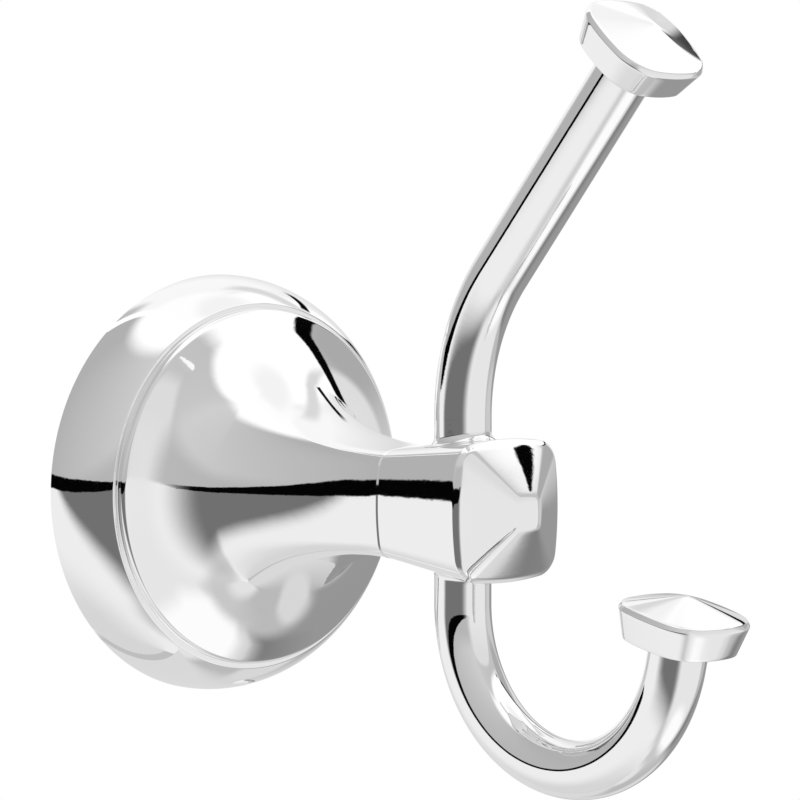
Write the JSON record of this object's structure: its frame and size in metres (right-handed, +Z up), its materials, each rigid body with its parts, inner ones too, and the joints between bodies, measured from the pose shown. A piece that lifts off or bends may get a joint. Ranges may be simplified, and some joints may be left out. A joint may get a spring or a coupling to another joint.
{
  "type": "double robe hook",
  "caption": "Wall-mounted robe hook: round bell-shaped post, square flared hub, a long upper arm leaning forward and a lower arm curled into a J, each ending in a low pyramid cap.",
  "frame": {"origin": "where the axis of the round flange meets the wall plane, on the back of the wall bracket", "axes": "the wall is the plane Y = 0; the hook reaches towards -Y, +Z is up and +X is to the right for someone who faces the wall"},
  "size_m": [0.07, 0.1173, 0.1212],
  "materials": {
    "polished_chrome": "mirror polish",
    "zinc_plated_steel": "bright zinc plate",
    "spring_steel": "dark oiled steel"
  },
  "bodies": {
    "root": {"post": "polished_chrome", "hook": "polished_chrome", "upper_finial": "polished_chrome", "lower_finial": "polished_chrome", "joint_screw": "zinc_plated_steel", "lock_washer": "spring_steel", "wall_bracket": "zinc_plated_steel", "set_screw": "spring_steel"}
  },
  "joints": []
}
